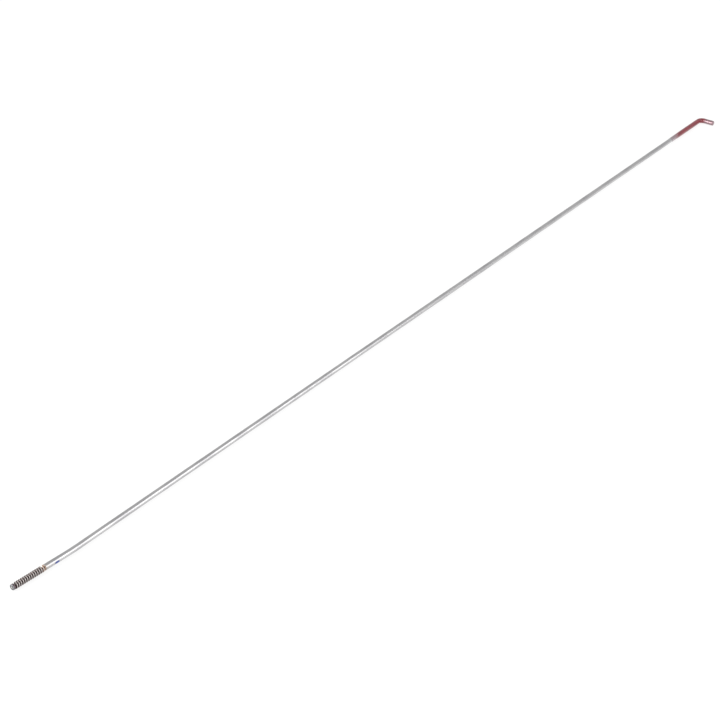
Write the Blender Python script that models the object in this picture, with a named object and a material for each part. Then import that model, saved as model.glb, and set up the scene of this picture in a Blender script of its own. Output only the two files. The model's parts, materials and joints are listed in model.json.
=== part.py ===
"""A hooked drain auger rod: one long steel wire with a wound boring coil on its head and a red dipped hook.

The wire is modelled in its own wire frame first. Its head runs along +X from the coil's nose, a slight set
in the wire turns it to the heading of the long run, and the hook turns off to -Y at the far end. At the end
the whole tool is moved so that it lies on the surface z = 0 with its bounding box centred over the origin.
"""

import math

import bmesh
import bpy
from mathutils import Matrix, Vector

MM = 0.001
TURN = 2 * math.pi

# Driving sizes of the wire.
ROD_DIAMETER = 4.2 * MM
TOOL_LENGTH = 915.1 * MM  # from the nose to the axis of the hook, along the long run
SET_FROM_NOSE = 43.3 * MM  # straight head before the wire's slight set
SET_ANGLE = math.radians(3.5)
SET_RADIUS = 200.0 * MM
HOOK_LENGTH = 14.4 * MM  # from the axis of the long run to the cut end of the wire
HOOK_ANGLE = math.radians(90.0)
HOOK_BEND_RADIUS = 5.0 * MM
CUT_END_CHAMFER = 0.4 * MM

# The boring coil on the head, wound left-handed so that turning the rod clockwise tightens it.
COIL_OUTER_DIAMETER = 4.7 * MM
COIL_WIRE_DIAMETER = 1.35 * MM
COIL_PITCH = 1.64 * MM
COIL_TURNS = 13.5
COIL_START_ANGLE = math.radians(-90.0)  # round the head from the side away from the hook; it starts underneath

# The button that closes the coil's nose.
BUTTON_DIAMETER = 4.2 * MM
BUTTON_LENGTH = 2.0 * MM
BUTTON_NOSE_CHAMFER = 0.55 * MM
BUTTON_BACK_CHAMFER = 0.2 * MM

# The brazing that joins the coil's last turn to the rod's shoulder.
BRAZE_DIAMETER = 4.5 * MM
BRAZE_LENGTH = 0.7 * MM

# The red dipped coat on the hook.
COAT_WALL = 0.25 * MM
COAT_LIP_WALL = 0.12 * MM
COAT_TAPER_LENGTH = 24.0 * MM
COAT_FROM_HOOK = 62.0 * MM  # how far the coat reaches back from the axis of the hook
COAT_END_CHAMFER = 0.7 * MM

# The dab of blue paint on the rod's side, just behind the coil.
DAB_LENGTH = 3.7 * MM
DAB_WIDTH = 1.8 * MM
DAB_THICKNESS = 0.12 * MM
DAB_FROM_SHOULDER = 8.9 * MM
DAB_ANGLE = math.radians(-86.0)  # round the rod from its top; -90 degrees is the hook's side

FIT_GAP = 0.1 * MM  # between two pieces that touch
ROUND_SIDES = 24
SET_STEPS = 3
HOOK_BEND_STEPS = 8
COIL_POINTS_PER_TURN = 18
COIL_BEVEL_RESOLUTION = 2
DAB_RIM_POINTS = 20
SMOOTH_ANGLE = math.radians(40.0)

# Sizes that follow from the driving ones.
ROD_RADIUS = ROD_DIAMETER / 2
COIL_MEAN_RADIUS = (COIL_OUTER_DIAMETER - COIL_WIRE_DIAMETER) / 2
SPIGOT_RADIUS = COIL_MEAN_RADIUS - COIL_WIRE_DIAMETER / 2 - FIT_GAP
COIL_LENGTH = COIL_TURNS * COIL_PITCH + COIL_WIRE_DIAMETER
COIL_START = BUTTON_LENGTH + FIT_GAP
BRAZE_START = COIL_START + COIL_LENGTH + FIT_GAP
SHOULDER_FROM_NOSE = BRAZE_START + BRAZE_LENGTH + FIT_GAP
COAT_BORE_RADIUS = ROD_RADIUS + FIT_GAP
COAT_RADIUS = COAT_BORE_RADIUS + COAT_WALL
COAT_LIP_RADIUS = COAT_BORE_RADIUS + COAT_LIP_WALL

MATERIALS = {
    "bright_steel": ((0.72, 0.72, 0.73), 0.28, 1.0),
    "dark_spring_steel": ((0.20, 0.17, 0.16), 0.38, 1.0),
    "button_steel": ((0.55, 0.57, 0.59), 0.35, 1.0),
    "braze_copper": ((0.62, 0.36, 0.20), 0.40, 1.0),
    "red_dip": ((0.55, 0.07, 0.11), 0.30, 0.0),
    "blue_paint": ((0.12, 0.16, 0.48), 0.50, 0.0),
}


def clear_scene():
    """Removes whatever objects the scene holds."""
    for obj in list(bpy.data.objects):
        bpy.data.objects.remove(obj, do_unlink=True)


def material(name):
    """The named finish as a Principled material, made once."""
    found = bpy.data.materials.get(name)
    if found:
        return found
    colour, roughness, metallic = MATERIALS[name]
    made = bpy.data.materials.new(name)
    made.use_nodes = True
    shader = made.node_tree.nodes["Principled BSDF"]
    shader.inputs["Base Color"].default_value = (*colour, 1.0)
    shader.inputs["Roughness"].default_value = roughness
    shader.inputs["Metallic"].default_value = metallic
    return made


def add_piece(name, data, finish, frame):
    """Puts a mesh or a curve in the scene as one named piece of the tool."""
    piece = bpy.data.objects.new(name, data)
    bpy.context.scene.collection.objects.link(piece)
    piece.data.materials.append(material(finish))
    piece.parent = frame
    return piece


def mesh_from(bm, name):
    """Closes the bmesh, turns its faces outwards and shades its round sides smooth."""
    bmesh.ops.recalc_face_normals(bm, faces=bm.faces)
    mesh = bpy.data.meshes.new(name)
    bm.to_mesh(mesh)
    bm.free()
    mesh.shade_smooth()
    mesh.set_sharp_from_angle(angle=SMOOTH_ANGLE)
    return mesh


class WireSkin:
    """A round skin that is drawn out along the wire: straight, stepped in or out, or turned in a bend."""

    def __init__(self, bm, nose, heading, radius):
        self.bm = bm
        self.centre = Vector(nose)
        self.heading = Vector(heading).normalized()
        self.radius = radius
        facing = self.heading.to_track_quat("Z", "Y").to_matrix().to_4x4()
        made = bmesh.ops.create_circle(
            bm, segments=ROUND_SIDES, radius=radius, matrix=Matrix.Translation(self.centre) @ facing
        )
        self.ring = made["verts"]

    def edges(self):
        """The edges of the ring at the skin's open end."""
        inside = set(self.ring)
        return [e for e in self.bm.edges if e.verts[0] in inside and e.verts[1] in inside]

    def extrude(self, length, radius=None):
        """Draws the skin on by a length, and changes its radius evenly on the way if one is given."""
        made = bmesh.ops.extrude_edge_only(self.bm, edges=self.edges())
        self.ring = [v for v in made["geom"] if isinstance(v, bmesh.types.BMVert)]
        step = self.heading * length
        bmesh.ops.translate(self.bm, verts=self.ring, vec=step)
        self.centre = self.centre + step
        if radius is not None:
            self.resize(radius)

    def resize(self, radius):
        """Scales the open ring about the wire's axis to a new radius."""
        share = radius / self.radius
        for vert in self.ring:
            vert.co = self.centre + (vert.co - self.centre) * share
        self.radius = radius

    def bend(self, angle, bend_radius, steps):
        """Turns the skin in the plane z = 0 by an angle, to the left if it is positive."""
        side = Vector((0, 0, 1)).cross(self.heading) * math.copysign(1, angle)
        pivot = self.centre + side * bend_radius
        made = bmesh.ops.spin(
            self.bm,
            geom=self.edges() + self.ring,
            cent=pivot,
            axis=(0, 0, 1),
            angle=angle,
            steps=steps,
            use_duplicate=False,
        )
        self.ring = [v for v in made["geom_last"] if isinstance(v, bmesh.types.BMVert)]
        turn = Matrix.Rotation(angle, 3, "Z")
        self.centre = pivot + turn @ (self.centre - pivot)
        self.heading = turn @ self.heading

    def turn_back(self, radius):
        """Steps out or in to a new radius and faces the way it came, as a sleeve does at its mouth."""
        self.extrude(0, radius)
        self.heading = -self.heading

    def cap(self):
        """Closes the open end with one flat face."""
        bmesh.ops.contextual_create(self.bm, geom=self.edges())


def arc_reach(angle, radius):
    """How far a bend reaches along its first heading from its start to the corner of its two headings."""
    return radius * math.tan(angle / 2)


def head_heading():
    """Direction of the straight head, which the set turns to +X."""
    return Vector((math.cos(SET_ANGLE), -math.sin(SET_ANGLE), 0))


def hook_corner():
    """Where the axes of the long run and of the hook cross, with the nose at the origin of the wire frame."""
    set_corner = head_heading() * (SET_FROM_NOSE + arc_reach(SET_ANGLE, SET_RADIUS))
    return Vector((TOOL_LENGTH, set_corner.y, 0))


def long_run_start():
    """Where the set ends and the long straight run begins."""
    set_corner = head_heading() * (SET_FROM_NOSE + arc_reach(SET_ANGLE, SET_RADIUS))
    return set_corner + Vector((arc_reach(SET_ANGLE, SET_RADIUS), 0, 0))


def make_rod(frame):
    """The wire itself: a turned-down spigot under the coil, the slight set, the long run and the hook."""
    bm = bmesh.new()
    skin = WireSkin(bm, (0, 0, 0), head_heading(), SPIGOT_RADIUS)
    skin.cap()
    skin.extrude(SHOULDER_FROM_NOSE)
    skin.extrude(0, ROD_RADIUS - CUT_END_CHAMFER / 2)
    skin.extrude(CUT_END_CHAMFER / 2, ROD_RADIUS)
    skin.extrude(SET_FROM_NOSE - SHOULDER_FROM_NOSE - CUT_END_CHAMFER / 2)
    skin.bend(SET_ANGLE, SET_RADIUS, SET_STEPS)
    skin.extrude(hook_corner().x - long_run_start().x - arc_reach(HOOK_ANGLE, HOOK_BEND_RADIUS))
    skin.bend(-HOOK_ANGLE, HOOK_BEND_RADIUS, HOOK_BEND_STEPS)
    skin.extrude(HOOK_LENGTH - arc_reach(HOOK_ANGLE, HOOK_BEND_RADIUS) - CUT_END_CHAMFER)
    skin.extrude(CUT_END_CHAMFER, ROD_RADIUS - CUT_END_CHAMFER)
    skin.cap()
    return add_piece("rod", mesh_from(bm, "rod"), "bright_steel", frame)


def coil_point(share):
    """A point on the coil's centreline, from its nose end at 0 to its shoulder end at 1."""
    angle = COIL_START_ANGLE - share * COIL_TURNS * TURN
    along = COIL_START + COIL_WIRE_DIAMETER / 2 + share * COIL_TURNS * COIL_PITCH
    return Vector((along, COIL_MEAN_RADIUS * math.cos(angle), COIL_MEAN_RADIUS * math.sin(angle)))


def make_coil(frame):
    """The boring coil: one round wire wound left-handed over the spigot."""
    curve = bpy.data.curves.new("auger_coil", "CURVE")
    curve.dimensions = "3D"
    curve.bevel_depth = COIL_WIRE_DIAMETER / 2
    curve.bevel_resolution = COIL_BEVEL_RESOLUTION
    curve.use_fill_caps = True
    steps = round(COIL_TURNS * COIL_POINTS_PER_TURN)
    spline = curve.splines.new("POLY")
    spline.points.add(steps)
    along_head = Matrix.Rotation(-SET_ANGLE, 3, "Z")
    for index, point in enumerate(spline.points):
        point.co = (*(along_head @ coil_point(index / steps)), 1)
    return add_piece("auger_coil", curve, "dark_spring_steel", frame)


def turned_ring(name, profile, finish, frame):
    """A piece turned round the head's axis from a closed outline of (distance from the nose, radius) points."""
    bm = bmesh.new()
    verts = [bm.verts.new((along, 0, radius)) for along, radius in profile]
    edges = [bm.edges.new((verts[i - 1], verts[i])) for i in range(len(verts))]
    bmesh.ops.spin(
        bm, geom=verts + edges, cent=(0, 0, 0), axis=(1, 0, 0), angle=TURN, steps=ROUND_SIDES, use_merge=True
    )
    bmesh.ops.remove_doubles(bm, verts=bm.verts, dist=0.001 * MM)
    bmesh.ops.rotate(bm, verts=bm.verts, matrix=Matrix.Rotation(-SET_ANGLE, 3, "Z"))
    return add_piece(name, mesh_from(bm, name), finish, frame)


def make_button(frame):
    """The round button on the coil's nose, bored for the spigot that is peened flush with its face."""
    bore = SPIGOT_RADIUS + FIT_GAP
    outer = BUTTON_DIAMETER / 2
    profile = [
        (0, bore),
        (0, outer - BUTTON_NOSE_CHAMFER),
        (BUTTON_NOSE_CHAMFER * 0.3, outer - BUTTON_NOSE_CHAMFER * 0.3),
        (BUTTON_NOSE_CHAMFER, outer),
        (BUTTON_LENGTH - BUTTON_BACK_CHAMFER, outer),
        (BUTTON_LENGTH, outer - BUTTON_BACK_CHAMFER),
        (BUTTON_LENGTH, bore),
    ]
    return turned_ring("end_button", profile, "button_steel", frame)


def make_braze(frame):
    """The bead of brazing between the coil's last turn and the rod's shoulder, rounded and a little proud."""
    bore = SPIGOT_RADIUS + FIT_GAP
    crown = BRAZE_DIAMETER / 2
    profile = [
        (BRAZE_START, bore),
        (BRAZE_START, crown * 0.84),
        (BRAZE_START + BRAZE_LENGTH * 0.25, crown * 0.97),
        (BRAZE_START + BRAZE_LENGTH * 0.5, crown),
        (BRAZE_START + BRAZE_LENGTH * 0.8, crown * 0.97),
        (BRAZE_START + BRAZE_LENGTH, crown * 0.90),
        (BRAZE_START + BRAZE_LENGTH, bore),
    ]
    return turned_ring("braze_fillet", profile, "braze_copper", frame)


def make_coat(frame):
    """The dipped coat: a thin sleeve with a tapered lip that follows the hook and closes over its end.

    Its skin starts inside the closed end, runs back along the bore to the mouth, and returns on the outside.
    """
    bm = bmesh.new()
    along_hook = Matrix.Rotation(-HOOK_ANGLE, 3, "Z") @ Vector((1, 0, 0))
    bore_end = hook_corner() + along_hook * (HOOK_LENGTH + FIT_GAP)
    reach = arc_reach(HOOK_ANGLE, HOOK_BEND_RADIUS)
    skin = WireSkin(bm, bore_end, -along_hook, COAT_BORE_RADIUS - CUT_END_CHAMFER)
    skin.cap()
    skin.extrude(CUT_END_CHAMFER, COAT_BORE_RADIUS)
    skin.extrude(HOOK_LENGTH + FIT_GAP - CUT_END_CHAMFER - reach)
    skin.bend(HOOK_ANGLE, HOOK_BEND_RADIUS, HOOK_BEND_STEPS)
    skin.extrude(COAT_FROM_HOOK - reach)
    skin.turn_back(COAT_LIP_RADIUS)
    skin.extrude(COAT_TAPER_LENGTH, COAT_RADIUS)
    skin.extrude(COAT_FROM_HOOK - COAT_TAPER_LENGTH - reach)
    skin.bend(-HOOK_ANGLE, HOOK_BEND_RADIUS, HOOK_BEND_STEPS)
    skin.extrude(HOOK_LENGTH + FIT_GAP + COAT_WALL - COAT_END_CHAMFER - reach)
    skin.extrude(COAT_END_CHAMFER * 0.6, COAT_RADIUS - COAT_END_CHAMFER * 0.3)
    skin.extrude(COAT_END_CHAMFER * 0.4, COAT_RADIUS - COAT_END_CHAMFER)
    skin.cap()
    return add_piece("red_dip_coat", mesh_from(bm, "red_dip_coat"), "red_dip", frame)


def make_dab(frame):
    """The dab of blue paint: a thin rounded patch that follows the rod's round side."""
    bm = bmesh.new()
    centre_along = SHOULDER_FROM_NOSE + DAB_FROM_SHOULDER
    layers = []
    for radius in (ROD_RADIUS + FIT_GAP, ROD_RADIUS + FIT_GAP + DAB_THICKNESS):
        rim = []
        for index in range(DAB_RIM_POINTS):
            turn = index / DAB_RIM_POINTS * TURN
            along = centre_along + DAB_LENGTH / 2 * math.cos(turn)
            round_rod = DAB_ANGLE + DAB_WIDTH / 2 / ROD_RADIUS * math.sin(turn)
            rim.append(bm.verts.new((along, radius * math.sin(round_rod), radius * math.cos(round_rod))))
        crown = bm.verts.new((centre_along, radius * math.sin(DAB_ANGLE), radius * math.cos(DAB_ANGLE)))
        for index, vert in enumerate(rim):
            bm.faces.new((rim[index - 1], vert, crown))
        layers.append(rim)
    for index in range(DAB_RIM_POINTS):
        bm.faces.new((layers[0][index - 1], layers[0][index], layers[1][index], layers[1][index - 1]))
    bmesh.ops.rotate(bm, verts=bm.verts, matrix=Matrix.Rotation(-SET_ANGLE, 3, "Z"))
    return add_piece("blue_paint_dab", mesh_from(bm, "blue_paint_dab"), "blue_paint", frame)


def lay_on_surface(pieces, frame):
    """Moves the tool so that it lies on z = 0 with its bounding box centred over the origin."""
    bpy.context.view_layer.update()
    graph = bpy.context.evaluated_depsgraph_get()
    corners = []
    for piece in pieces:
        shown = piece.evaluated_get(graph)
        mesh = shown.to_mesh()
        corners += [shown.matrix_world @ vert.co for vert in mesh.vertices]
        shown.to_mesh_clear()
    low = Vector(min(corner[axis] for corner in corners) for axis in range(3))
    high = Vector(max(corner[axis] for corner in corners) for axis in range(3))
    frame.location = -Vector(((low.x + high.x) / 2, (low.y + high.y) / 2, low.z))


def main():
    clear_scene()
    frame = bpy.data.objects.new("tool_frame", None)
    bpy.context.scene.collection.objects.link(frame)
    makers = (make_rod, make_coil, make_button, make_braze, make_coat, make_dab)
    pieces = [make(frame) for make in makers]
    lay_on_surface(pieces, frame)


main()
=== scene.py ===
# %% [markdown]
# # Finishing a hooked drain auger rod
#
# The tool is one long spring wire. Its head carries a dark wound coil that bores into a blockage,
# closed by a round steel button and brazed to the wire's shoulder. Its far end is bent into a hook and
# dipped in red plastic. The plain solids of all that are packed already, and they fix every size and
# place. Here each of them gets a finely made piece that lies in the same space, with the finish of the
# real metal, plastic and paint.

import json
import math

import bmesh
import bpy
from mathutils import Matrix, Vector
from mathutils.bvhtree import BVHTree


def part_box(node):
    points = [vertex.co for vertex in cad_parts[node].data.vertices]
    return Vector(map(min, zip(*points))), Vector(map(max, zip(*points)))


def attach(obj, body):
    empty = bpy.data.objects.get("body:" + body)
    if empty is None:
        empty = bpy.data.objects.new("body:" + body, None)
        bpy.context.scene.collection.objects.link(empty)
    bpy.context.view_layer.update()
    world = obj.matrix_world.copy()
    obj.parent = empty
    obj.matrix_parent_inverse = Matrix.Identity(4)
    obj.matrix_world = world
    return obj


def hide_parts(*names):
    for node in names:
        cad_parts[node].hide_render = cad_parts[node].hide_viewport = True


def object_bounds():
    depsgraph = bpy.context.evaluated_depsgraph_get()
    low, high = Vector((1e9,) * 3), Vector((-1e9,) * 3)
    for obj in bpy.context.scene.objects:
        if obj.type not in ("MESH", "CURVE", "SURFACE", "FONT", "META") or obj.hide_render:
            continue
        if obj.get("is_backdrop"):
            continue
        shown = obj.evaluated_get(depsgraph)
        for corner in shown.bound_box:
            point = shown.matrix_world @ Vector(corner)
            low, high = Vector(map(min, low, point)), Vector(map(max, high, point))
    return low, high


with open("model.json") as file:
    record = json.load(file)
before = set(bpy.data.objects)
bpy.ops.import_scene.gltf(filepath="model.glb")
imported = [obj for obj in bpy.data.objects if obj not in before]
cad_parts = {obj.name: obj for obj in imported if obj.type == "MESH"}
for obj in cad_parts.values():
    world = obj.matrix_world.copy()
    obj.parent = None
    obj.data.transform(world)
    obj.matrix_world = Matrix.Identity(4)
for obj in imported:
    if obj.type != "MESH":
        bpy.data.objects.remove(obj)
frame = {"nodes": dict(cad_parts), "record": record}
cad_low, cad_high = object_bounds()
MM = 0.001
print("CAD nodes:", ", ".join(sorted(frame["nodes"])))
print("CAD box in mm:", [round(side / MM, 2) for side in cad_high - cad_low])

# %% [markdown]
# ## Where the wire runs
#
# The record holds two flat faces: the nose that is pushed into the drain, and the blunt end of the
# hook. Each has a place and an outward direction, so the head's axis and the hook's axis follow from
# them. The red coat hugs the long run, so its box gives the run's axis. Reading these from the frame,
# and not typing them again, means that the finish still fits if the solids are packed anew with another
# size.

# %% Read the axes of the head, the run and the hook
mounts = {mount["name"]: mount for mount in frame["record"]["mounts"]}
nose = Vector(mounts["nose_face"]["pos_m"])
head_way = -Vector(mounts["nose_face"]["axis"]).normalized()
hook_end = Vector(mounts["hook_end_face"]["pos_m"])
hook_way = Vector(mounts["hook_end_face"]["axis"]).normalized()
run_way = Vector((1, 0, 0))

coat_low, coat_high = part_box("red_dip_coat")
coat_radius = (coat_high.z - coat_low.z) / 2
run_y = coat_high.y - coat_radius
hook_corner = Vector((hook_end.x, run_y, nose.z))
set_corner = nose + head_way * ((run_y - nose.y) / head_way.y)
print("nose to the wire's set:", round((set_corner - nose).length / MM, 2), "mm")
print("set to the hook's corner:", round((hook_corner - set_corner).length / MM, 2), "mm")

# %% [markdown]
# ## Measuring the turned pieces
#
# The coil, the button and the brazing all sit round the head's axis, so two numbers say where any of
# their points is: how far along that axis it lies, and how far from it. The least and the greatest of
# each are all that is needed to turn a finer piece in the same place.

# %% Measure along and away from the head's axis
def head_places(node):
    """How far along the head from the nose, and how far from its axis, each point of a CAD node is."""
    places = []
    for vertex in frame["nodes"][node].data.vertices:
        offset = vertex.co - nose
        along = offset.dot(head_way)
        places.append((along, (offset - head_way * along).length))
    return places


def head_span(node):
    """Where a turned CAD node starts and ends along the head, and its inner and outer radius."""
    along, away = zip(*head_places(node))
    return min(along), max(along), min(away), max(away)


SPIGOT_SEEN = 1 * MM  # this close to the nose, the wire is surely spigot
FULL_SHARE = 0.75  # where it has this share of the rod's radius, it is surely past the shoulder

rod_low, rod_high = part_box("rod")
rod_radius = (rod_high.z - rod_low.z) / 2
rod_places = [place for place in head_places("rod") if place[0] < (set_corner - nose).length]
spigot_radius = max(away for along, away in rod_places if along < SPIGOT_SEEN)
shoulder = min(along for along, away in rod_places if away > FULL_SHARE * rod_radius)
print("rod radius, spigot radius, shoulder from the nose in mm:")
print([round(value / MM, 3) for value in (rod_radius, spigot_radius, shoulder)])

# %% [markdown]
# ## A skin drawn along a wire
#
# A wire, a sleeve and a turned button are all a ring that travels. By hand one adds a circle, goes into
# edit mode, extrudes it, scales it, and spins it round a bend. This small class does the same with the
# same operators, and remembers where its open ring is, so that a piece reads as a list of strokes. A
# curve with a bevel would be quicker for a plain wire, but it can't step from a spigot to a shoulder or
# turn back inside a sleeve.

# %% Draw with a ring in edit mode
WELD = 0.001 * MM


def start_clean():
    """Goes back to object mode with nothing selected, so an operator acts only on what comes next."""
    if bpy.context.mode != "OBJECT":
        bpy.ops.object.mode_set(mode="OBJECT")
    bpy.ops.object.select_all(action="DESELECT")


def open_for_edit(piece, name, select_by="EDGE"):
    """Names a new primitive, puts its place into its mesh and opens it for editing, all selected."""
    piece.name = piece.data.name = name
    bpy.ops.object.transform_apply(location=True, rotation=True, scale=True)
    bpy.ops.object.mode_set(mode="EDIT")
    bpy.ops.mesh.select_mode(type=select_by)
    bpy.ops.mesh.select_all(action="SELECT")
    return piece


class RingSkin:
    """A skin that an open ring leaves behind as it is drawn along a wire, in edit mode."""

    def __init__(self, name, centre, way, radius, sides=48):
        self.centre, self.way, self.radius = Vector(centre), Vector(way).normalized(), radius
        start_clean()
        bpy.ops.mesh.primitive_circle_add(
            vertices=sides,
            radius=radius,
            location=self.centre,
            rotation=self.way.to_track_quat("Z", "Y").to_euler(),
        )
        self.piece = open_for_edit(bpy.context.object, name)

    def draw(self, length, radius=None):
        """Extrudes the ring along the wire, and scales it to a new radius if one is given."""
        step = self.way * length
        bpy.ops.mesh.extrude_region_move(TRANSFORM_OT_translate={"value": step})
        self.centre = self.centre + step
        if radius is not None:
            share = radius / self.radius
            bpy.ops.transform.resize(value=(share, share, share), center_override=self.centre)
            self.radius = radius

    def round_to(self, length, radius, steps=5):
        """Draws a quarter round, from a flat face out to a side, or from a side in to a flat face."""
        first, done = self.radius, 0
        for step in range(1, steps + 1):
            turn = step / steps * math.pi / 2
            opens = radius > first
            along = 1 - math.cos(turn) if opens else math.sin(turn)
            across = math.sin(turn) if opens else 1 - math.cos(turn)
            self.draw(length * along - done, first + (radius - first) * across)
            done = length * along

    def bend(self, angle, bend_radius, steps):
        """Spins the ring round a bend that lies flat, to the left if the angle is positive."""
        side = Vector((0, 0, 1)).cross(self.way) * math.copysign(1, angle)
        pivot = self.centre + side * bend_radius
        bpy.ops.mesh.spin(steps=steps, angle=-angle, center=pivot, axis=(0, 0, 1))  # it counts clockwise
        turn = Matrix.Rotation(angle, 3, "Z")
        self.centre = pivot + turn @ (self.centre - pivot)
        self.way = turn @ self.way

    def turn_back(self, radius):
        """Steps to a new radius and faces the way it came, as a sleeve does at its mouth."""
        self.draw(0, radius)
        self.way = -self.way

    def close(self):
        """Fills the open ring with one face and leaves that face selected."""
        bpy.ops.mesh.edge_face_add()
        bpy.ops.mesh.select_mode(type="FACE")


print("a ring skin is drawn with extrude, resize, spin and edge_face_add")

# %% [markdown]
# ## Finishing and checking a piece
#
# Whatever way a piece is shaped, it ends alike: points that fell together are merged, the faces are
# turned outwards, and round sides are shaded smooth while real corners stay sharp. The merge distance
# has to be tiny here, because Blender's own default of a tenth of a millimetre would eat a ring of this
# wire. Then the piece is compared with the plain solid that it stands for, which says at once if it was
# wound the wrong way or put in a wrong place.

# %% Close, smooth and compare
SMOOTH_ANGLE = math.radians(35)


def finish_piece(piece, smooth_angle=SMOOTH_ANGLE):
    """Merges doubled points, faces all outwards, smooths round sides and puts the piece on the body."""
    bpy.ops.mesh.select_all(action="SELECT")
    bpy.ops.mesh.remove_doubles(threshold=WELD)
    bpy.ops.mesh.normals_make_consistent(inside=False)
    bpy.ops.object.mode_set(mode="OBJECT")
    bpy.ops.object.shade_smooth_by_angle(angle=smooth_angle)
    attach(piece, "root")
    return piece


def apply_modifier(piece, kind, name, **settings):
    """Adds one modifier to the active piece with these settings and applies it."""
    modifier = piece.modifiers.new(name, kind)
    for setting, value in settings.items():
        setattr(modifier, setting, value)
    bpy.ops.object.modifier_apply(modifier=name)


def compare(piece, node):
    """Prints a piece's faces and open edges, and how far it strays from its CAD node's surface."""
    shape = bmesh.new()
    shape.from_mesh(piece.data)
    open_edges = sum(not edge.is_manifold for edge in shape.edges)
    solid = bmesh.new()
    solid.from_mesh(frame["nodes"][node].data)
    surface = BVHTree.FromBMesh(solid)
    stray = max(surface.find_nearest(vertex.co)[3] for vertex in shape.verts)
    volume = shape.calc_volume() / MM**3
    print(f"{piece.name}: {len(shape.faces)} faces, {open_edges} open edges, {volume:.1f} mm3")
    print(f"  at most {stray / MM:.2f} mm from {node}")
    shape.free()
    solid.free()


print("doubles are merged within", WELD / MM, "mm")

# %% [markdown]
# ## The rod
#
# The wire starts as a spigot turned down to pass through the coil and the button, where its end is
# peened over into a low dome. At the shoulder it steps up to its full size with a small round. Then
# come the straight head, the slight set that use has put in the wire, the long run and the right-angle
# hook. All of it is one skin drawn from the nose to the hook's cut end, whose rim is rounded by the
# file.

# %% Draw the rod
SET_RADIUS = 200 * MM
SET_STEPS = 8
HOOK_BEND_RADIUS = 5 * MM
HOOK_BEND_STEPS = 24
SHOULDER_ROUND = 0.25 * MM
CUT_END_ROUND = 0.4 * MM
PEEN_ROUND = 0.18 * MM
CUT_END_GAP = 0.35 * MM  # between the wire's cut end and the outside of the coat

set_angle = head_way.angle(run_way)
set_reach = SET_RADIUS * math.tan(set_angle / 2)
run_length = (hook_corner - set_corner).length - set_reach - HOOK_BEND_RADIUS
hook_length = (hook_end - hook_corner).length - CUT_END_GAP

skin = RingSkin("rod_wire", nose, head_way, spigot_radius - PEEN_ROUND)
skin.round_to(PEEN_ROUND, spigot_radius)
skin.draw(shoulder - PEEN_ROUND)
skin.draw(0, rod_radius - SHOULDER_ROUND)
skin.round_to(SHOULDER_ROUND, rod_radius)
skin.draw((set_corner - nose).length - set_reach - shoulder - SHOULDER_ROUND)
skin.bend(set_angle, SET_RADIUS, SET_STEPS)
skin.draw(run_length)
skin.bend(-math.pi / 2, HOOK_BEND_RADIUS, HOOK_BEND_STEPS)
skin.draw(hook_length - HOOK_BEND_RADIUS - CUT_END_ROUND)
skin.round_to(CUT_END_ROUND, rod_radius - CUT_END_ROUND)
skin.close()

# %% [markdown]
# The ring at the nose is still open. It is the only open edge left on the mesh, so it can be picked as
# what isn't manifold, filled, and raised into the low dome that a hammer leaves, by two insets that
# each step outwards.

# %% Peen the spigot's end
PEEN_STEP = 0.15 * MM
PEEN_RISE = 0.02 * MM
PEEN_RINGS = 2

bpy.ops.mesh.select_mode(type="EDGE")
bpy.ops.mesh.select_all(action="DESELECT")
bpy.ops.mesh.select_non_manifold()
skin.close()
for ring in range(PEEN_RINGS):
    bpy.ops.mesh.inset(thickness=PEEN_STEP, depth=PEEN_RISE)
rod_wire = finish_piece(skin.piece)
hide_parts("rod")
compare(rod_wire, "rod")

# %% [markdown]
# ## The boring coil
#
# The coil is a round spring wire wound left-handed, so that turning the rod clockwise tightens its
# grip. Winding it by spins would need a lift at each step, and the Screw modifier does just that: it
# carries a profile round an axis and along it. It is wound about the X axis at the origin, where the
# modifier works, and moved onto the head afterwards.

# %% Wind the coil
COIL_TURNS = 13.5
COIL_START = math.radians(-90)  # round the head from the +Y side, so the wire starts underneath
COIL_STEPS_PER_TURN = 48
COIL_WIRE_SIDES = 20

coil_first, coil_last, coil_inner, coil_outer = head_span("auger_coil")
wire_radius = (coil_outer - coil_inner) / 2
coil_radius = (coil_outer + coil_inner) / 2
coil_climb = coil_last - coil_first - 2 * wire_radius
coil_pitch = coil_climb / COIL_TURNS
print("coil wire", round(2 * wire_radius / MM, 2), "mm, pitch", round(coil_pitch / MM, 2), "mm")

start_clean()
bpy.ops.mesh.primitive_circle_add(
    vertices=COIL_WIRE_SIDES,
    radius=wire_radius,
    location=(0, coil_radius, 0),
)
coil_wire = bpy.context.object
coil_wire.name = coil_wire.data.name = "coil_wire"
bpy.ops.object.transform_apply(location=True, rotation=True, scale=True)
coil_steps = round(COIL_TURNS * COIL_STEPS_PER_TURN)
apply_modifier(
    coil_wire,
    "SCREW",
    "wind",
    axis="X",
    angle=-COIL_TURNS * 2 * math.pi,
    screw_offset=coil_climb,
    steps=coil_steps,
    render_steps=coil_steps,
)

# %% [markdown]
# The winding is a tube that is open at both ends. Each end was nipped off with cutters, so it is
# filled, and the face is inset with a small rise to break the rim. Then the whole coil is turned and
# moved onto the head, and its place is applied to its mesh.

# %% Nip the coil's ends and slide it onto the spigot
NIP_STEP = 0.16 * MM
NIP_RISE = 0.07 * MM

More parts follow.
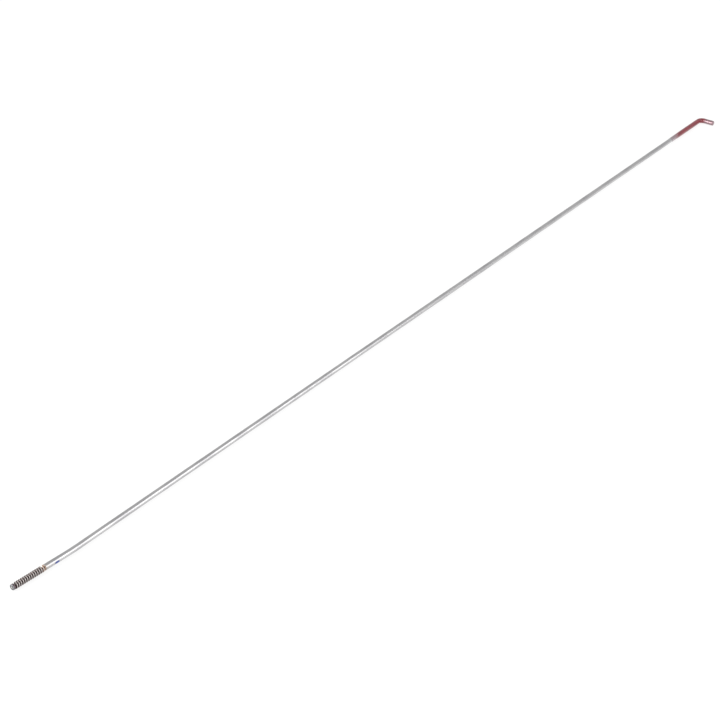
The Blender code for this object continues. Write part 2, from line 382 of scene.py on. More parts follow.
bpy.ops.object.mode_set(mode="EDIT")
bpy.ops.mesh.select_mode(type="EDGE")
bpy.ops.mesh.select_all(action="DESELECT")
bpy.ops.mesh.select_non_manifold()
bpy.ops.mesh.edge_face_add()
bpy.ops.mesh.select_mode(type="FACE")
bpy.ops.mesh.inset(thickness=NIP_STEP, depth=NIP_RISE)
bpy.ops.object.mode_set(mode="OBJECT")
head_turn = head_way.to_track_quat("X", "Z").to_matrix()
coil_wire.rotation_euler = (head_turn @ Matrix.Rotation(COIL_START, 3, "X")).to_euler()
coil_wire.location = nose + head_way * (coil_first + wire_radius)
bpy.ops.object.transform_apply(location=True, rotation=True, scale=True)
bpy.ops.object.mode_set(mode="EDIT")
finish_piece(coil_wire)
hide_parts("auger_coil")
compare(coil_wire, "auger_coil")

# %% [markdown]
# ## The nose button
#
# The button is turned from bar: a flat face with a shallow dish round the peened spigot, a well rounded
# nose edge, a short land with one fine groove from the parting tool, and a bore. A ring skin can turn
# it in one go. It starts at the bore's mouth, goes out over the face, back along the outside and home
# through the bore, and its last ring lands on its first, where the merge closes it.

# %% Turn the button
NOSE_ROUND = 0.55 * MM
NOSE_LAND = 0.12 * MM
DISH_DEPTH = 0.05 * MM
DISH_SLOPE = 1.5  # how much wider the dish gets for each step up
GROOVE_DEPTH = 0.10 * MM
GROOVE_WIDTH = 0.24 * MM
BACK_ROUND = 0.2 * MM

button_first, button_last, button_bore, button_radius = head_span("end_button")
button_length = button_last - button_first
collar = button_length - NOSE_ROUND - NOSE_LAND - GROOVE_WIDTH - BACK_ROUND
dish_radius = (button_bore + button_radius - NOSE_ROUND) / 2
dish_floor = nose + head_way * (button_first + DISH_DEPTH)

skin = RingSkin("nose_button", dish_floor, head_way, button_bore, sides=64)
skin.draw(0, dish_radius)
skin.draw(-DISH_DEPTH, dish_radius + DISH_DEPTH * DISH_SLOPE)
skin.draw(0, button_radius - NOSE_ROUND)
skin.round_to(NOSE_ROUND, button_radius, steps=8)
skin.draw(NOSE_LAND)
skin.draw(GROOVE_WIDTH / 3, button_radius - GROOVE_DEPTH)
skin.draw(GROOVE_WIDTH / 3)
skin.draw(GROOVE_WIDTH / 3, button_radius)
skin.draw(collar)
skin.round_to(BACK_ROUND, button_radius - BACK_ROUND)
skin.draw(0, button_bore)
skin.draw(DISH_DEPTH - button_length)
nose_button = finish_piece(skin.piece)
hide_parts("end_button")
compare(nose_button, "end_button")

# %% [markdown]
# ## The brazing
#
# Brass was run between the coil's last turn and the shoulder, and froze in a lumpy bead. A torus is the
# right start, squeezed along the head to the width of the gap. A Displace modifier with a fine cloud
# texture makes the lumps, which no clean turning would give. The texture only pushes inwards, so the
# bead stays in its space.

# %% Lay the braze bead
BEAD_LUMP = 0.16 * MM
BEAD_LUMP_SIZE = 0.7 * MM
BEAD_SMOOTH = math.radians(60)

braze_first, braze_last, braze_bore, braze_radius = head_span("braze_fillet")
bead_thick = (braze_radius - braze_bore) / 2
start_clean()
bpy.ops.mesh.primitive_torus_add(
    major_segments=96,
    minor_segments=24,
    major_radius=(braze_radius + braze_bore) / 2,
    minor_radius=bead_thick,
    location=nose + head_way * (braze_first + braze_last) / 2,
    rotation=head_way.to_track_quat("Z", "Y").to_euler(),
)
braze_bead = bpy.context.object
braze_bead.scale.z = (braze_last - braze_first) / (2 * bead_thick)
open_for_edit(braze_bead, "braze_bead")
bpy.ops.object.mode_set(mode="OBJECT")
lumps = bpy.data.textures.new("braze_lumps", "CLOUDS")
lumps.noise_scale = BEAD_LUMP_SIZE
apply_modifier(braze_bead, "DISPLACE", "lumps", texture=lumps, strength=BEAD_LUMP, mid_level=1.0)
bpy.ops.object.mode_set(mode="EDIT")
finish_piece(braze_bead, BEAD_SMOOTH)
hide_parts("braze_fillet")
compare(braze_bead, "braze_fillet")

# %% [markdown]
# ## The dipped coat
#
# The hook was hung in red plastic and drawn out slowly. The coat is a closed sock: thin as a film at
# its lip, full along the hook, round over the cut end. Its skin starts inside, at the closed end, runs
# back along the bore to the mouth and returns on the outside. The rings there stand close together,
# because the next step needs points to move.

# %% Draw the coat
COAT_GAP = 0.1 * MM
COAT_LIP = 0.05 * MM
COAT_TAPER = 26 * MM
COAT_TAPER_STEPS = 13
COAT_RING_STEP = 1.2 * MM
COAT_HOOK_RINGS = 8
COAT_END_ROUND = 0.9 * MM
COAT_END_STEP = 0.5 * MM

coat_bore = rod_radius + COAT_GAP
coat_wall = coat_radius - coat_bore
coat_straight = hook_corner.x - coat_low.x - HOOK_BEND_RADIUS
bore_end = hook_corner + hook_way * (hook_length + COAT_GAP)

skin = RingSkin("dip_coat", bore_end, -hook_way, coat_bore - CUT_END_ROUND)
skin.round_to(CUT_END_ROUND, coat_bore)
skin.draw(hook_length + COAT_GAP - CUT_END_ROUND - HOOK_BEND_RADIUS)
skin.bend(math.pi / 2, HOOK_BEND_RADIUS, HOOK_BEND_STEPS)
skin.draw(coat_straight)
mouth = skin.centre.copy()
skin.turn_back(coat_bore + COAT_LIP)
for step in range(1, COAT_TAPER_STEPS + 1):
    swell = math.sin(step / COAT_TAPER_STEPS * math.pi / 2)
    skin.draw(COAT_TAPER / COAT_TAPER_STEPS, coat_bore + COAT_LIP + (coat_wall - COAT_LIP) * swell)
straight_rings = round((coat_straight - COAT_TAPER) / COAT_RING_STEP)
for ring in range(straight_rings):
    skin.draw((coat_straight - COAT_TAPER) / straight_rings)
skin.bend(-math.pi / 2, HOOK_BEND_RADIUS, HOOK_BEND_STEPS)
hook_straight = (hook_end - hook_corner).length - HOOK_BEND_RADIUS - COAT_END_ROUND
for ring in range(COAT_HOOK_RINGS):
    skin.draw(hook_straight / COAT_HOOK_RINGS)
skin.round_to(COAT_END_ROUND, coat_radius - COAT_END_ROUND, steps=8)
skin.close()
bpy.ops.mesh.inset(thickness=COAT_END_STEP, depth=0)

# %% [markdown]
# The inner end of the sock is still open, and is filled like the rod's nose. The dip line is never
# square to the wire, because the rod hung a little aslant, so the two rings at the mouth are picked by
# their place and turned. A rotate without a window needs to be told its centre.

# %% Fill the bore's end and slant the lip
LIP_SLANT = math.radians(24)
LIP_REACH = 0.1 * MM  # the mouth's two rings are the only points this close to it along the run


def select_points(keep):
    """Selects the points of the open piece whose place passes a test, and says how many there are."""
    bpy.ops.mesh.select_mode(type="VERT")
    bpy.ops.mesh.select_all(action="DESELECT")
    shape = bmesh.from_edit_mesh(bpy.context.object.data)
    for vertex in shape.verts:
        vertex.select_set(bool(keep(vertex.co)))
    shape.select_flush(True)
    bmesh.update_edit_mesh(bpy.context.object.data)
    return sum(vertex.select for vertex in shape.verts)


bpy.ops.mesh.select_mode(type="EDGE")
bpy.ops.mesh.select_all(action="DESELECT")
bpy.ops.mesh.select_non_manifold()
bpy.ops.mesh.edge_face_add()
picked = select_points(lambda place: abs(place.x - mouth.x) < LIP_REACH)
bpy.ops.transform.rotate(value=LIP_SLANT, orient_axis="Y", orient_type="GLOBAL", center_override=mouth)
print("slanted", picked, "points of the lip")

# %% [markdown]
# A dipped coat isn't machined: it pools a little and thins a little. The outside points go into a
# vertex group, and a Displace modifier with a soft cloud texture pulls them in by a few hundredths of a
# millimetre. It moves points along their normals, so the faces are turned outwards first. The bore is
# left out of the group, so it keeps its hair of clearance round the wire.

# %% Let the coat pool
POOL_DEPTH = 0.07 * MM
POOL_SIZE = 7 * MM
COAT_SMOOTH = math.radians(50)


def wire_distance(place):
    """How far a point is from the axis of the coated wire, on its straight run, its bend or its hook."""
    bend_centre = hook_corner - run_way * HOOK_BEND_RADIUS + hook_way * HOOK_BEND_RADIUS
    if place.x < bend_centre.x:
        return math.hypot(place.y - run_y, place.z - nose.z)
    if place.y < bend_centre.y:
        return math.hypot(place.x - hook_corner.x, place.z - nose.z)
    round_bend = math.hypot(place.x - bend_centre.x, place.y - bend_centre.y)
    return math.hypot(round_bend - HOOK_BEND_RADIUS, place.z - nose.z)


dip_coat = skin.piece
bpy.ops.mesh.select_all(action="SELECT")
bpy.ops.mesh.normals_make_consistent(inside=False)
halfway = (coat_bore + coat_radius) / 2
select_points(lambda place: wire_distance(place) > halfway)
pooled = dip_coat.vertex_groups.new(name="pooled")
bpy.ops.object.vertex_group_assign()
bpy.ops.object.mode_set(mode="OBJECT")
pools = bpy.data.textures.new("coat_pools", "CLOUDS")
pools.noise_scale = POOL_SIZE
apply_modifier(
    dip_coat,
    "DISPLACE",
    "pools",
    texture=pools,
    strength=POOL_DEPTH,
    mid_level=1.0,
    vertex_group=pooled.name,
)
bpy.ops.object.mode_set(mode="EDIT")
finish_piece(dip_coat, COAT_SMOOTH)
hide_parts("red_dip_coat")
compare(dip_coat, "red_dip_coat")

# %% [markdown]
# ## The paint dab
#
# One touch of a small brush marks the rod behind the coil. A filled circle is stretched to the dab's
# length and width, inset a few times so that it has points inside, and shaken a little so that its
# outline isn't an ellipse. It starts flat beside the rod. A Shrinkwrap modifier lays it onto the wire's
# round side, and Solidify and Subdivision Surface give it the thickness and the soft rim of a drop of
# paint.

# %% Brush on the dab
DAB_GAP = 0.1 * MM
DAB_THICKNESS = 0.13 * MM
DAB_POINTS = 28
DAB_SHAKE = 0.12 * MM
DAB_SHAKE_SEED = 7
DAB_RINGS = 3
DAB_RING_STEP = 0.2 * MM
DAB_DROP = 1 * MM  # from the rod's side out to where the flat dab starts
DAB_SMOOTH = math.radians(70)

dab_low, dab_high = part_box("blue_paint_dab")
dab_centre = (dab_low + dab_high) / 2
dab_along = (dab_centre - nose).dot(head_way)
dab_out = (dab_centre - nose - head_way * dab_along).normalized()
dab_across = dab_out.cross(head_way)
facing = Matrix((head_way, dab_across, dab_out)).transposed().to_euler()

start_clean()
bpy.ops.mesh.primitive_circle_add(
    vertices=DAB_POINTS,
    radius=1,
    fill_type="NGON",
    location=nose + head_way * dab_along + dab_out * (rod_radius + DAB_DROP),
)
paint_dab = bpy.context.object
paint_dab.rotation_euler = facing
paint_dab.scale = ((dab_high.x - dab_low.x) / 2, (dab_high.z - dab_low.z) / 2, 1)
open_for_edit(paint_dab, "paint_dab", select_by="FACE")
for ring in range(DAB_RINGS):
    bpy.ops.mesh.inset(thickness=DAB_RING_STEP, depth=0)
bpy.ops.mesh.select_mode(type="VERT")
bpy.ops.mesh.select_all(action="SELECT")
bpy.ops.transform.vertex_random(offset=DAB_SHAKE, normal=0, seed=DAB_SHAKE_SEED)
bpy.ops.object.mode_set(mode="OBJECT")
apply_modifier(
    paint_dab,
    "SHRINKWRAP",
    "lay_on_rod",
    target=rod_wire,
    wrap_method="NEAREST_SURFACEPOINT",
    wrap_mode="OUTSIDE_SURFACE",
    offset=DAB_GAP,
)
apply_modifier(paint_dab, "SOLIDIFY", "thickness", thickness=DAB_THICKNESS, offset=1)
apply_modifier(paint_dab, "SUBSURF", "soft_rim", levels=1, render_levels=1)
bpy.ops.object.mode_set(mode="EDIT")
finish_piece(paint_dab, DAB_SMOOTH)
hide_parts("blue_paint_dab")
compare(paint_dab, "blue_paint_dab")

# %% [markdown]
# ## Mixing a finish
#
# Every surface gets one Principled shader. What is the same all over it, such as how glossy its clear
# layer is, is set on the shader's own socket. What changes from place to place, such as colour,
# roughness and tiny relief, comes from nodes that read the object's own coordinates, so the pattern
# stays on the metal from whatever side one looks. The class below only saves typing: each method adds
# one kind of node and hands back its output.

# %% A small workbench for materials
# The Mix node's colour sockets have the same names as its number sockets, so they go by their place.
MIX_FIRST, MIX_SECOND, MIX_RESULT = 6, 7, 2
NOISE_LOW, NOISE_HIGH = 0.3, 0.7  # a cloudy noise seldom leaves this range


class Finish:
    """A material being mixed: one Principled shader, and methods that add the nodes which feed it."""

    def __init__(self, name, **fixed):
        self.material = bpy.data.materials.new(name)
        self.material.use_nodes = True
        self.tree = self.material.node_tree
        self.shader = self.tree.nodes["Principled BSDF"]
        for socket, value in fixed.items():
            self.shader.inputs[socket.replace("_", " ")].default_value = value
        self.place = self.add("ShaderNodeTexCoord").outputs["Object"]

    def add(self, kind, feeds=None, **settings):
        """Adds a node with these settings, and feeds its sockets with values or other nodes' outputs."""
        node = self.tree.nodes.new(kind)
        for setting, value in settings.items():
            setattr(node, setting, value)
        for socket, feed in (feeds or {}).items():
            self.feed(node.inputs[socket], feed)
        return node

    def feed(self, socket, feed):
        """Links an output to a socket, or sets the socket to a value."""
        if isinstance(feed, bpy.types.NodeSocket):
            self.tree.links.new(feed, socket)
        else:
            socket.default_value = feed

    def stretched(self, scale, place=None):
        """Coordinates in which a pattern is pulled out or pushed together along each axis."""
        feeds = {"Vector": place or self.place, "Scale": scale}
        return self.add("ShaderNodeMapping", feeds).outputs["Vector"]

    def grain(self, size, detail=4.0, place=None, roughness=0.55):
        """Cloudy noise whose blobs are about this size in metres."""
        feeds = {"Vector": place or self.place, "Scale": 1 / size}
        feeds.update({"Detail": detail, "Roughness": roughness})
        return self.add("ShaderNodeTexNoise", feeds).outputs["Fac"]

    def remap(self, value, low, high, to_low=0.0, to_high=1.0, kind="SMOOTHSTEP"):
        """Turns the range low to high of a value into another range, and holds it there outside."""
        feeds = {"Value": value, "From Min": low, "From Max": high, "To Min": to_low, "To Max": to_high}
        return self.add("ShaderNodeMapRange", feeds, interpolation_type=kind).outputs["Result"]

    def spread(self, noise, low, high, kind="SMOOTHSTEP"):
        """Spreads a cloudy noise over this range."""
        return self.remap(noise, NOISE_LOW, NOISE_HIGH, low, high, kind)

    def maths(self, operation, first, second=0.0):
        """One sum on two numbers."""
        return self.add("ShaderNodeMath", {0: first, 1: second}, operation=operation).outputs["Value"]

    def blend(self, share, first, second):
        """Goes from the first colour to the second as the share goes from 0 to 1."""
        feeds = {"Factor": share, MIX_FIRST: colour(first), MIX_SECOND: colour(second)}
        return self.add("ShaderNodeMix", feeds, data_type="RGBA").outputs[MIX_RESULT]

    def relief(self, height, distance, below=None):
        """Tilts the surface as if it rose and fell with this height, and can lie on another relief."""
        feeds = {"Height": height, "Distance": distance}
        if below is not None:
            feeds["Normal"] = below
        return self.add("ShaderNodeBump", feeds).outputs["Normal"]

    def done(self, piece, **feeds):
        """Feeds the shader and puts the finished material on a piece."""
        for socket, feed in feeds.items():
            self.feed(self.shader.inputs[socket.replace("_", " ")], feed)
        piece.data.materials.clear()
        piece.data.materials.append(self.material)
        print(f"{self.material.name}: {len(self.tree.nodes)} nodes, on {piece.name}")


def colour(value):
    """A colour of three numbers gets its fourth, and an output is passed on as it is."""
    return value if isinstance(value, bpy.types.NodeSocket) else (*value, 1.0)


# %% [markdown]
# ## Bright steel wire
#
# Spring wire is pulled cold through a die, which leaves fine lines along it, and then plated, which
# leaves it a little cloudy. Handling adds faint cross scratches and dull specks. Each of these is one
# noise: the drawing lines are noise stretched a hundred times along X, the clouds are soft and long,
# and the specks are the peaks of a fine one. They change the roughness more than the colour, as on real
# bright metal.

# %% Mix the bright steel
STEEL_BRIGHT = (0.56, 0.555, 0.56)
STEEL_DULL = (0.44, 0.435, 0.445)
STEEL_SPECK = (0.25, 0.24, 0.24)
STEEL_STRAW = (0.47, 0.42, 0.37)
HEAT_REACH = 4 * MM  # how far past the shoulder the brazing heat has coloured the wire
STRAW_SHARE = 0.45
SPECK_SHARE = 0.6


def head_frame(finish):
    """Coordinates that start at the nose and run along the head in X."""
    turn = head_way.to_track_quat("X", "Z").to_euler()
    feeds = {"Vector": finish.place, "Location": nose, "Rotation": turn}
    return finish.add("ShaderNodeMapping", feeds, vector_type="TEXTURE").outputs["Vector"]


def along_and_away(finish):
    """The distance along the head from the nose, and the distance from the head's axis."""
    place = head_frame(finish)
    along = finish.add("ShaderNodeSeparateXYZ", {"Vector": place}).outputs["X"]
    feeds = {0: place, 1: (0.0, 1.0, 1.0)}
    across = finish.add("ShaderNodeVectorMath", feeds, operation="MULTIPLY").outputs["Vector"]
    away = finish.add("ShaderNodeVectorMath", {0: across}, operation="LENGTH").outputs["Value"]
    return along, away


steel = Finish("bright_drawn_steel", Metallic=1.0)
clouds = steel.grain(5 * MM, detail=5.0, place=steel.stretched((0.25, 1.0, 1.0)))
lines = steel.grain(0.12 * MM, detail=3.0, place=steel.stretched((0.01, 1.0, 1.0)))
scratches = steel.grain(0.25 * MM, detail=2.0, place=steel.stretched((1.0, 0.06, 0.06)))
specks = steel.remap(steel.grain(0.5 * MM, detail=6.0, roughness=0.7), 0.66, 0.74)
along, away = along_and_away(steel)
warmth = steel.remap(along, shoulder + HEAT_REACH, shoulder)
steel_colour = steel.blend(steel.remap(clouds, 0.35, 0.68), STEEL_BRIGHT, STEEL_DULL)
steel_colour = steel.blend(steel.maths("MULTIPLY", warmth, STRAW_SHARE), steel_colour, STEEL_STRAW)
steel_colour = steel.blend(steel.maths("MULTIPLY", specks, SPECK_SHARE), steel_colour, STEEL_SPECK)
steel_rough = steel.remap(clouds, 0.35, 0.7, 0.19, 0.31)
steel_rough = steel.maths("ADD", steel_rough, steel.spread(lines, -0.03, 0.05, "LINEAR"))
steel_rough = steel.maths("ADD", steel_rough, steel.maths("MULTIPLY", specks, 0.2))
steel_relief = steel.relief(lines, 0.006 * MM)
steel_relief = steel.relief(steel.remap(scratches, 0.62, 0.7), 0.004 * MM, steel_relief)
steel.done(rod_wire, Base_Color=steel_colour, Roughness=steel_rough, Normal=steel_relief)

# %% [markdown]
# ## Dark spring steel
#
# The coil is oil-tempered wire, which comes out of the furnace with a brown-black skin. Use rubs the
# skin off the outside of each turn and leaves it in the grooves. Because the coil is round, the colour
# goes by the distance from the head's axis. The outside of each turn is painted pale, as worn steel and
# as a painted highlight on each crest, broken up by noise. The inner half of the wire, down in the
# grooves, is painted near black, as oxide and as painted shade. The brazing torch has drawn temper
# colours on the last turns, and the button's end was heated too.

# %% Mix the coil's finish
OXIDE_AND_GROOVE_SHADE = (0.026, 0.020, 0.018)
OXIDE_BROWN = (0.150, 0.114, 0.107)
WORN_STEEL_AND_HIGHLIGHT = (0.43, 0.40, 0.39)
TORCH_COPPER = (0.50, 0.32, 0.23)
TORCH_PURPLE = (0.17, 0.12, 0.155)
TORCH_REACH = 2.6 * MM  # how far heat colours spread from the nose and from the coil's last turn
TORCH_NOSE_FULL = 1.4 * MM  # and how near to each of the two they are at their fullest
TORCH_BRAZE_FULL = 0.4 * MM
WORN_AND_HIGHLIGHT_SHARE = 0.9
GROOVE_SHADE_REACH = 0.1 * MM  # the near-black oxide and painted shade fade from this far above the wire's middle to as far below its top
WEAR_AND_HIGHLIGHT_START = 0.20 * MM  # below the coil's outside, where the worn steel and painted highlight begin
WEAR_AND_HIGHLIGHT_FULL = 0.02 * MM
WEAR_AND_HIGHLIGHT_IN, WEAR_AND_HIGHLIGHT_OUT = -0.09 * MM, 0.07 * MM  # how far the blotches shift that line

oxide = Finish("oil_tempered_coil", Metallic=1.0)
along, away = along_and_away(oxide)
blotches = oxide.grain(0.7 * MM, detail=6.0, roughness=0.65)
pits = oxide.grain(0.12 * MM, detail=4.0, roughness=0.7)
# Painted shade: the inner half of each turn, down in the grooves, is darkened towards near black, partly
# as oxide.
groove_shade_and_oxide = oxide.remap(away, coil_radius + GROOVE_SHADE_REACH, coil_outer - GROOVE_SHADE_REACH)
rubbed_and_highlit = oxide.maths("ADD", away, oxide.spread(blotches, WEAR_AND_HIGHLIGHT_IN, WEAR_AND_HIGHLIGHT_OUT, "LINEAR"))
rubbed_and_highlit = oxide.remap(rubbed_and_highlit, coil_outer - WEAR_AND_HIGHLIGHT_START, coil_outer - WEAR_AND_HIGHLIGHT_FULL)
skin_and_shade_colour = oxide.blend(groove_shade_and_oxide, OXIDE_AND_GROOVE_SHADE, OXIDE_BROWN)
near_nose = oxide.remap(along, TORCH_REACH, TORCH_NOSE_FULL)
near_braze = oxide.remap(along, coil_last - TORCH_REACH, coil_last - TORCH_BRAZE_FULL)
skin_and_shade_colour = oxide.blend(near_nose, skin_and_shade_colour, TORCH_PURPLE)
skin_and_shade_colour = oxide.blend(near_braze, skin_and_shade_colour, TORCH_COPPER)
# Painted highlight: the outside of each turn is painted pale, as worn steel and as the shine of each
# crest.
oxide_colour = oxide.blend(oxide.maths("MULTIPLY", rubbed_and_highlit, WORN_AND_HIGHLIGHT_SHARE), skin_and_shade_colour, WORN_STEEL_AND_HIGHLIGHT)
oxide_rough = oxide.spread(blotches, 0.34, 0.52)
oxide_rough = oxide.maths("SUBTRACT", oxide_rough, oxide.maths("MULTIPLY", rubbed_and_highlit, 0.1))
oxide_relief = oxide.relief(pits, 0.012 * MM)
oxide.done(coil_wire, Base_Color=oxide_colour, Roughness=oxide_rough, Normal=oxide_relief)

# %% [markdown]
# ## Turned steel of the button
#
# The tool bit of a lathe leaves rings: on the face they differ by the distance from the axis, on the
# side by the distance along it. Noise that reads only those two numbers is the same all the way round,
# so it draws exactly such rings. Towards the rim the steel is painted lighter, as a little polish from
# handling and as a painted highlight on the round nose edge. Behind the groove the torch's heat has
# turned the collar purple-brown.

# %% Mix the button's finish
TURNED_STEEL = (0.165, 0.175, 0.185)
TURNED_SHADE = (0.115, 0.125, 0.135)
RIM_POLISH_AND_HIGHLIGHT = (0.25, 0.255, 0.265)
COLLAR_BROWN = (0.130, 0.098, 0.108)
RIM_START = 0.75 * MM  # inside the button's side, where the polish and painted highlight begin
RIM_FULL = 0.25 * MM
HEATED_FROM = 0.62 * MM  # behind the button's face, where the brown begins in the groove
HEATED_FULL = 0.90 * MM

turned = Finish("turned_button_steel", Metallic=1.0)
along, away = along_and_away(turned)
rings_at = turned.add("ShaderNodeCombineXYZ", {"X": along, "Y": away}).outputs["Vector"]
rings = turned.grain(0.06 * MM, detail=3.0, place=rings_at)
smudges = turned.grain(1.1 * MM, detail=5.0)
rim = turned.remap(away, button_radius - RIM_START, button_radius - RIM_FULL)
heated = turned.remap(along, button_first + HEATED_FROM, button_first + HEATED_FULL)
turned_colour = turned.blend(turned.remap(smudges, 0.35, 0.7), TURNED_STEEL, TURNED_SHADE)
# Painted highlight: the rim is painted lighter, partly as polish from handling.
turned_colour = turned.blend(rim, turned_colour, RIM_POLISH_AND_HIGHLIGHT)
turned_colour = turned.blend(heated, turned_colour, COLLAR_BROWN)
turned_rough = turned.spread(smudges, 0.26, 0.40)
turned_rough = turned.maths("ADD", turned_rough, turned.spread(rings, -0.04, 0.06))
turned_relief = turned.relief(rings, 0.008 * MM)
turned.done(nose_button, Base_Color=turned_colour, Roughness=turned_rough, Normal=turned_relief)

# %% [markdown]
# ## Brazing brass
#
# The bead froze with a dull coppery skin, darker where flux burnt on it and brighter where it ran
# clean. Two noises of different size are enough for that, with a fine relief for the frozen ripples.

# %% Mix the brazing's finish
BRAZE_CLEAN = (0.62, 0.46, 0.36)
BRAZE_BURNT = (0.34, 0.235, 0.18)

brass = Finish("frozen_braze", Metallic=1.0)
burnt = brass.grain(0.8 * MM, detail=6.0, roughness=0.65)
ripples = brass.grain(0.2 * MM, detail=4.0)
brass_colour = brass.blend(brass.remap(burnt, 0.4, 0.66), BRAZE_CLEAN, BRAZE_BURNT)
brass_rough = brass.remap(burnt, 0.35, 0.7, 0.30, 0.58)
brass_relief = brass.relief(ripples, 0.02 * MM)
brass.done(braze_bead, Base_Color=brass_colour, Roughness=brass_rough, Normal=brass_relief)

# %% [markdown]
# ## Dipped red plastic
#
# The coat is a clear red plastic over bright metal. A real see-through layer a fifth of a millimetre
# thick would render slowly and noisily, and can't be baked for the exported model. It is told apart
# from an opaque paint mostly by its depth: some of the metal's shine comes back red, and where the
# coat is thin the steel shows. So the shader is part metal under a clear coat. Near the lip its colour
# fades to tinted steel, and on the hook, from which the plastic drained, it fades halfway to it.

# %% Mix the coat's finish
DIP_RED = (0.225, 0.017, 0.030)
DIP_DEEP = (0.150, 0.011, 0.019)
DIP_FILM = (0.44, 0.37, 0.395)
DIP_DRAINED = (0.28, 0.175, 0.195)
FILM_FULL = 17 * MM  # from the lip to where the plastic hides the steel
FILM_RAGGED = 3 * MM  # how far the runs shift that place either way
DRAIN_START = 3.5 * MM  # from the run's axis along the hook, to where the coat starts to thin
DRAIN_FULL = 8 * MM
FILM_METAL = 0.95  # the steel's own share of the shine, in the film at the lip
DEEP_METAL = 0.20  # under the full coat
DRAINED_METAL = 0.62  # and on the drained hook

dip = Finish("dipped_red_plastic", Coat_Weight=0.6, Coat_Roughness=0.06, Coat_IOR=1.5, IOR=1.5)
reach, across = (dip.add("ShaderNodeSeparateXYZ", {"Vector": dip.place}).outputs[axis] for axis in "XY")
runs = dip.grain(3 * MM, detail=4.0, place=dip.stretched((0.35, 1.0, 1.0)))
reach = dip.maths("ADD", reach, dip.spread(runs, -FILM_RAGGED, FILM_RAGGED, "LINEAR"))
solid = dip.remap(reach, coat_low.x, coat_low.x + FILM_FULL)
drained = dip.remap(across, run_y - DRAIN_START, run_y - DRAIN_FULL)
dip_colour = dip.blend(dip.remap(runs, 0.35, 0.7), DIP_RED, DIP_DEEP)
dip_colour = dip.blend(drained, dip_colour, DIP_DRAINED)
dip_colour = dip.blend(solid, DIP_FILM, dip_colour)
dip_metal = dip.remap(solid, 0.0, 1.0, FILM_METAL, DEEP_METAL)
dip_metal = dip.maths("MAXIMUM", dip_metal, dip.maths("MULTIPLY", drained, DRAINED_METAL))
dust = dip.grain(0.35 * MM, detail=5.0, roughness=0.7)
dip_rough = dip.remap(dust, 0.4, 0.75, 0.26, 0.42)
dip_relief = dip.relief(dip.grain(1.6 * MM, detail=2.0), 0.05 * MM)
dip.done(dip_coat, Base_Color=dip_colour, Metallic=dip_metal, Roughness=dip_rough, Normal=dip_relief)
dip.feed(dip.shader.inputs["Coat Normal"], dip_relief)

# %% [markdown]
# ## The blue paint
#
# Brush paint dries matt with streaks the way the brush went, here along the rod, and thins towards its
# rim. Noise stretched along X gives the streaks, in colour and as relief.

# %% Mix the paint
PAINT_BLUE = (0.045, 0.068, 0.27)
PAINT_PALE = (0.10, 0.145, 0.40)

paint = Finish("brushed_blue_paint", Specular_IOR_Level=0.4)
streaks = paint.grain(0.14 * MM, detail=3.0, place=paint.stretched((0.12, 1.0, 1.0)))
patches = paint.grain(0.9 * MM, detail=4.0)
paint_share = paint.maths("MULTIPLY", paint.remap(streaks, 0.35, 0.7), paint.remap(patches, 0.3, 0.65))
paint_colour = paint.blend(paint_share, PAINT_BLUE, PAINT_PALE)
paint_rough = paint.spread(patches, 0.38, 0.62)
paint_relief = paint.relief(streaks, 0.02 * MM)
paint.done(paint_dab, Base_Color=paint_colour, Roughness=paint_rough, Normal=paint_relief)

# %% [markdown]
# ## The floor
#
# The tool lies on a plain white board: a plane pulled down to a slab. It belongs to the stage and not
# to the object. It is lit from within like a light table, which leaves the tool almost without a shadow
# and gives the underside of the bright wire something white to mirror.

# %% Lay the board
WHITE = (1.0, 1.0, 1.0)
BOARD_SIZE = 8.0
BOARD_THICK = 0.02
BOARD_GLOW = 0.84
BOARD_GREY = (0.15, 0.15, 0.15)
BOARD_PALE = (0.18, 0.18, 0.18)

start_clean()
bpy.ops.mesh.primitive_plane_add(size=BOARD_SIZE, location=(0, 0, 0))
board = open_for_edit(bpy.context.object, "board", select_by="FACE")
bpy.ops.mesh.extrude_region_move(TRANSFORM_OT_translate={"value": (0, 0, -BOARD_THICK)})
bpy.ops.mesh.select_all(action="SELECT")
bpy.ops.mesh.normals_make_consistent(inside=False)
bpy.ops.object.mode_set(mode="OBJECT")
board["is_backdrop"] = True

lit_board = Finish(
    "lit_white_board",
    Specular_IOR_Level=0.2,
    Emission_Color=colour(WHITE),
    Emission_Strength=BOARD_GLOW,
)
fibres = lit_board.grain(40 * MM, detail=3.0)
board_colour = lit_board.blend(fibres, BOARD_GREY, BOARD_PALE)
lit_board.done(board, Base_Color=board_colour, Roughness=0.7)

# %% [markdown]
# ## Soft light
#
# Bright metal shows its surroundings, so the lights are placed for what they do in the reflections. The
# straight run can only mirror what lies towards +X, and the hook only what lies towards +Y. A large
# soft panel on the -Y side gives the near end of the run its bright band and leaves the far end grey. A
# second one, small and strong, beyond the nose on the +Y side gives the hook its long highlight.

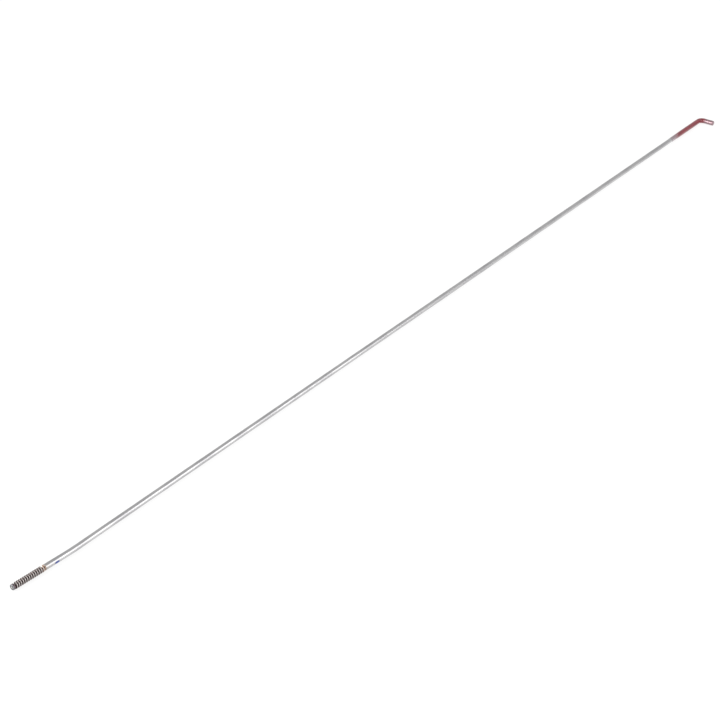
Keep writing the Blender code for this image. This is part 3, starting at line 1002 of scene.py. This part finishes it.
# %% Set the lights
def soft_panel(name, centre, aim, width, height, brightness):
    """A soft rectangular light, whose surface has this brightness whatever its size."""
    start_clean()
    facing = (Vector(aim) - Vector(centre)).to_track_quat("-Z", "Y").to_euler()
    bpy.ops.object.light_add(type="AREA", location=centre, rotation=facing)
    panel = bpy.context.object
    panel.name = panel.data.name = name
    panel.data.shape = "RECTANGLE"
    panel.data.size = width
    panel.data.size_y = height
    panel.data.energy = brightness * math.pi * width * height
    panel.visible_camera = False
    print(name, "gives", round(panel.data.energy), "W")


soft_panel(
    "side_panel",
    centre=(0.22, -1.4, 0.85),
    aim=(0.22, 0.0, 0.1),
    width=2.46,
    height=1.5,
    brightness=1.7,
)
soft_panel(
    "end_panel",
    centre=(-1.45, 0.95, 0.95),
    aim=(0.0, 0.1, 0.0),
    width=1.1,
    height=1.0,
    brightness=9.0,
)

STUDIO_GLOW = 0.70
world = bpy.data.worlds.new("studio")
world.use_nodes = True
world.node_tree.nodes["Background"].inputs["Color"].default_value = colour(WHITE)
world.node_tree.nodes["Background"].inputs["Strength"].default_value = STUDIO_GLOW
bpy.context.scene.world = world
bpy.context.scene.view_settings.view_transform = "Standard"

# %% [markdown]
# ## The camera
#
# The tool is seen from above its nose, looking along it to the hook, which gives the strong perspective
# of a long thin thing. An eighty millimetre lens, a little over a metre from the nose, keeps the whole
# rod in the picture.

# %% Place the camera
CAMERA_FROM_CORNER = Vector((-1.39177, -0.64747, 0.66535))
CAMERA_AZIMUTH = math.radians(-52.090)
CAMERA_TILT = math.radians(90 - 32.518)
CAMERA_LENS = 80

start_clean()
bpy.ops.object.camera_add(
    location=hook_corner + CAMERA_FROM_CORNER,
    rotation=(CAMERA_TILT, 0, CAMERA_AZIMUTH),
)
camera = bpy.context.object
camera.data.lens = CAMERA_LENS
bpy.context.scene.camera = camera
print("camera to the nose:", round((camera.location - nose).length, 3), "m")

# %% [markdown]
#
# How far the finished pieces' box has grown past the plain solids' box is printed. The finished
# pieces may not be bigger than the plain solids.

# %% Compare the boxes and finish
visual_low, visual_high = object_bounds()
grown = (*(cad_low - visual_low), *(visual_high - cad_high))
print("grown in mm:", [round(value / MM, 3) for value in grown])
